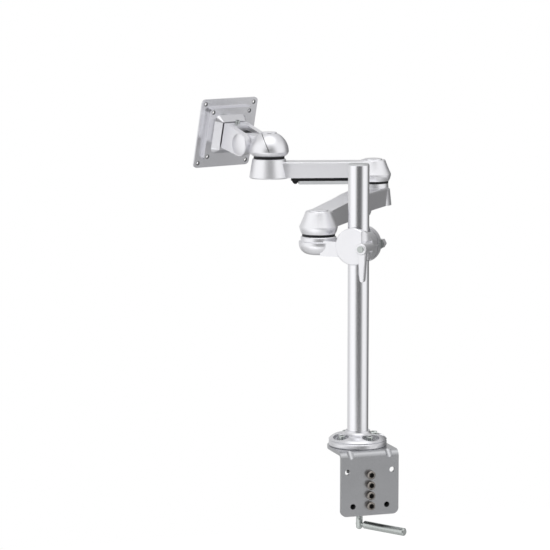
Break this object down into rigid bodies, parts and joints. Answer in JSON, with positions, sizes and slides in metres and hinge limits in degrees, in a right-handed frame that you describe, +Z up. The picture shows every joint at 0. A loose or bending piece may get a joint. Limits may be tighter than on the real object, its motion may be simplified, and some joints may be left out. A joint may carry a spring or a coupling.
{
  "type": "desk clamp monitor arm",
  "caption": "Folding monitor arm on a round desk-clamped pole, with a lever-locked sliding collar, swivel links, a tilting head and a stepped display mounting plate.",
  "frame": {"origin": "on the pole's axis, in the plane of the desk top that the clamp grips", "axes": "+Z up along the pole, -Y out of the drilled face of the desk bracket, +X to the right of that face"},
  "size_m": [0.2919, 0.5486, 0.629],
  "materials": {
    "bracket_paint": "satin grey powder coat",
    "jaw_paint": "satin grey powder coat",
    "zinc": "bright zinc plate",
    "cast_silver": "satin silver paint on die-cast aluminium",
    "pole_metal": "satin anodised tube",
    "plate_silver": "silver paint on pressed steel",
    "cover_grey": "grey moulded plastic",
    "black_plastic": "matt black acetal",
    "nylon": "natural nylon",
    "rubber": "matt rubber"
  },
  "bodies": {
    "base": {"desk_pad": "rubber", "desk_bracket": "bracket_paint", "clamp_jaw": "jaw_paint", "jaw_screws": "zinc", "foot_ring": "cast_silver", "pole_foot": "cast_silver", "foot_screws": "zinc", "pole_lock_screw": "zinc", "pole": "pole_metal", "pole_cap": "cover_grey"},
    "presser": {"pressure_plate": "jaw_paint", "pressure_pad": "rubber"},
    "screw": {"clamp_screw": "zinc", "tommy_bar": "zinc"},
    "bush": {"pole_bush": "nylon"},
    "collar": {"collar_body": "cast_silver", "clamp_stud": "zinc", "stud_washer": "zinc", "stud_nut": "zinc", "lever_boss": "cast_silver", "shoulder_pin": "zinc", "shoulder_ring": "black_plastic", "shoulder_springs": "zinc", "shoulder_nut": "zinc"},
    "lever": {"lever_handle": "cast_silver", "lever_button": "zinc"},
    "lower_arm": {"lower_arm": "cast_silver", "lower_strip": "cover_grey", "shoulder_cap": "cast_silver", "elbow_pin": "zinc", "elbow_ring": "black_plastic", "elbow_springs": "zinc", "elbow_nut": "zinc"},
    "upper_arm": {"upper_arm": "cast_silver", "cable_guide": "black_plastic", "cable_cover": "cover_grey", "elbow_cap": "cast_silver", "swivel_pin": "zinc", "swivel_ring": "black_plastic", "swivel_springs": "zinc", "swivel_nut": "zinc"},
    "head": {"head_casting": "cast_silver", "dome_shell": "cast_silver", "swivel_cap": "cast_silver"},
    "yoke": {"tilt_yoke": "cast_silver", "tilt_pin": "zinc", "tilt_caps": "cast_silver", "tilt_washers": "black_plastic", "pivot_screw": "zinc", "pivot_washer": "black_plastic", "pivot_bolt": "zinc"},
    "plate": {"vesa_plate": "plate_silver"}
  },
  "joints": [
    {"name": "pad_lift", "type": "slide", "parent": "base", "child": "presser", "axis": [0, 0, 1], "range_m": [-0.03, 0.016]},
    {"name": "screw_turn", "type": "hinge", "parent": "presser", "child": "screw", "pos_m": [0, -0.009, -0.08], "axis": [0, 0, 1], "range_deg": [-5400, 2880]},
    {"name": "collar_lift", "type": "slide", "parent": "base", "child": "bush", "axis": [0, 0, 1], "range_m": [-0.2, 0.085]},
    {"name": "collar_turn", "type": "hinge", "parent": "bush", "child": "collar", "pos_m": [0, 0, 0.312], "axis": [0, 0, 1], "range_deg": [-175, 175]},
    {"name": "lever_turn", "type": "hinge", "parent": "collar", "child": "lever", "pos_m": [0.0167, -0.01552, 0.312], "axis": [-0.6807, -0.7325, 0], "range_deg": [-100, 100]},
    {"name": "shoulder_turn", "type": "hinge", "parent": "collar", "child": "lower_arm", "pos_m": [-0.04791, 0.04452, 0.3265], "axis": [0, 0, 1], "range_deg": [-35, 200]},
    {"name": "elbow_turn", "type": "hinge", "parent": "lower_arm", "child": "upper_arm", "pos_m": [0.12935, 0.28233, 0.3783], "axis": [0, 0, 1], "range_deg": [-240, 58]},
    {"name": "head_turn", "type": "hinge", "parent": "upper_arm", "child": "head", "pos_m": [-0.03314, 0.32617, 0.4187], "axis": [0, 0, 1], "range_deg": [-80, 185]},
    {"name": "head_tilt", "type": "hinge", "parent": "head", "child": "yoke", "pos_m": [-0.05086, 0.37185, 0.4355], "axis": [0.9323, 0.3616, 0], "range_deg": [-43, 45]},
    {"name": "plate_turn", "type": "hinge", "parent": "yoke", "child": "plate", "pos_m": [-0.06707, 0.41364, 0.44585], "axis": [-0.3524, 0.9084, 0.225], "range_deg": [-90, 90]}
  ],
  "couplings": [
    {"joint": "pad_lift", "follows": "screw_turn", "m_per_rad": 0.00031831}
  ]
}
